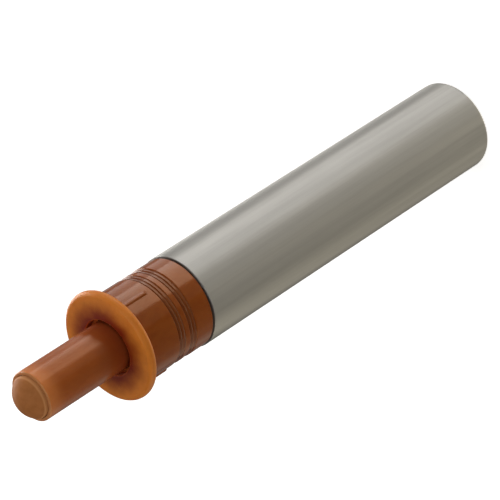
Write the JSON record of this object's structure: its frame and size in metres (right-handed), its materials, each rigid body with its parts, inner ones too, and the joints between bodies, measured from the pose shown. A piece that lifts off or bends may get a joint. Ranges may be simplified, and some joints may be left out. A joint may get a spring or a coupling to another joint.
{
  "type": "soft close damper",
  "caption": "Drill-in soft close damper: plain metal tube, flanged plastic nose with crush ribs, and a sprung domed plunger slowed by an oil piston.",
  "frame": {"origin": "centre of the tube's closed end, which the damper stands on", "axes": "+Z along the damper's axis towards the domed plunger; +X through the first crush rib behind the flange"},
  "size_m": [0.0118, 0.0118, 0.0648],
  "materials": {
    "tube_metal": "satin, fine lengthwise drawing lines",
    "amber_plastic": "satin amber-brown moulding, slightly translucent where thin",
    "tip_elastomer": "dull brown",
    "natural_plastic": "natural off-white moulding",
    "bright_steel": "bright",
    "black_rubber": "matte black",
    "grey_foam": "closed-cell foam"
  },
  "bodies": {
    "housing": {"outer_tube": "tube_metal", "nose_housing": "amber_plastic", "end_cushion": "black_rubber", "damping_cylinder": "natural_plastic", "cylinder_cap": "natural_plastic", "cap_o_ring": "black_rubber", "rod_seal": "black_rubber", "seal_support_ring": "natural_plastic", "compensator_foam": "grey_foam", "foam_separator": "natural_plastic", "return_spring": "bright_steel", "spring_seat": "natural_plastic"},
    "plunger_unit": {"plunger": "amber_plastic", "tip_bumper": "tip_elastomer", "piston_rod": "bright_steel", "piston": "natural_plastic", "piston_ring": "natural_plastic", "valve_keeper": "bright_steel", "rod_clip": "bright_steel"},
    "valve": {"valve_disc": "bright_steel"}
  },
  "joints": [
    {"name": "plunger_slide", "type": "slide", "parent": "housing", "child": "plunger_unit", "axis": [0, 0, -1], "range_m": [0, 0.01], "stiffness_N_per_m": 250, "springref_m": -0.006, "deforming": ["return_spring"]},
    {"name": "valve_lift", "type": "slide", "parent": "plunger_unit", "child": "valve", "axis": [0, 0, 1], "range_m": [0, 0.0005]}
  ]
}
